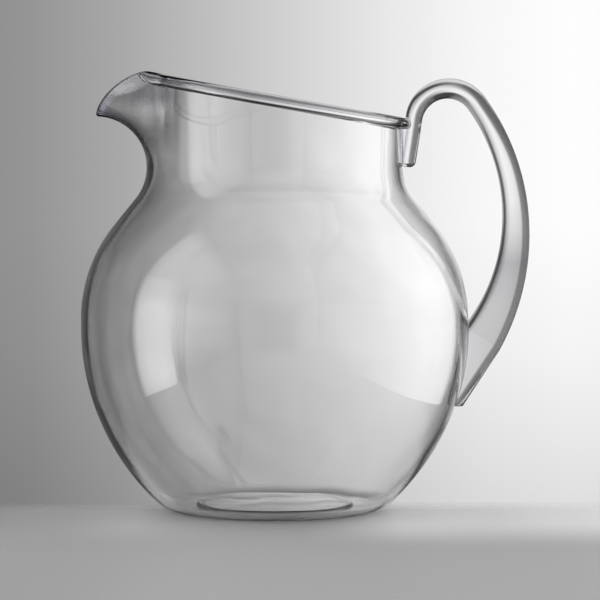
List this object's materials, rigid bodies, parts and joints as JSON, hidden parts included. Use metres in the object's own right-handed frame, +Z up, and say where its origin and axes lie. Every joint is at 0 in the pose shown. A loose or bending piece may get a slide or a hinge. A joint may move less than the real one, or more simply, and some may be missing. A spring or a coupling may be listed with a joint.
{
  "type": "pitcher",
  "caption": "Clear round-bellied table pitcher with a sloped beaded mouth, a drooping pouring spout and a bent bar handle bonded to its neck and belly.",
  "frame": {"origin": "middle of the foot ring, on the table", "axes": "+Z up, -X towards the spout, +X towards the handle, +Y from front to back across the pitcher"},
  "size_m": [0.2238, 0.1934, 0.2195],
  "materials": {
    "clear_body": "polished",
    "clear_handle": "polished",
    "clear_adhesive": "gloss"
  },
  "bodies": {
    "root": {"vessel_body": "clear_body", "handle": "clear_handle", "upper_bond": "clear_adhesive", "lower_bond": "clear_adhesive"}
  },
  "joints": []
}
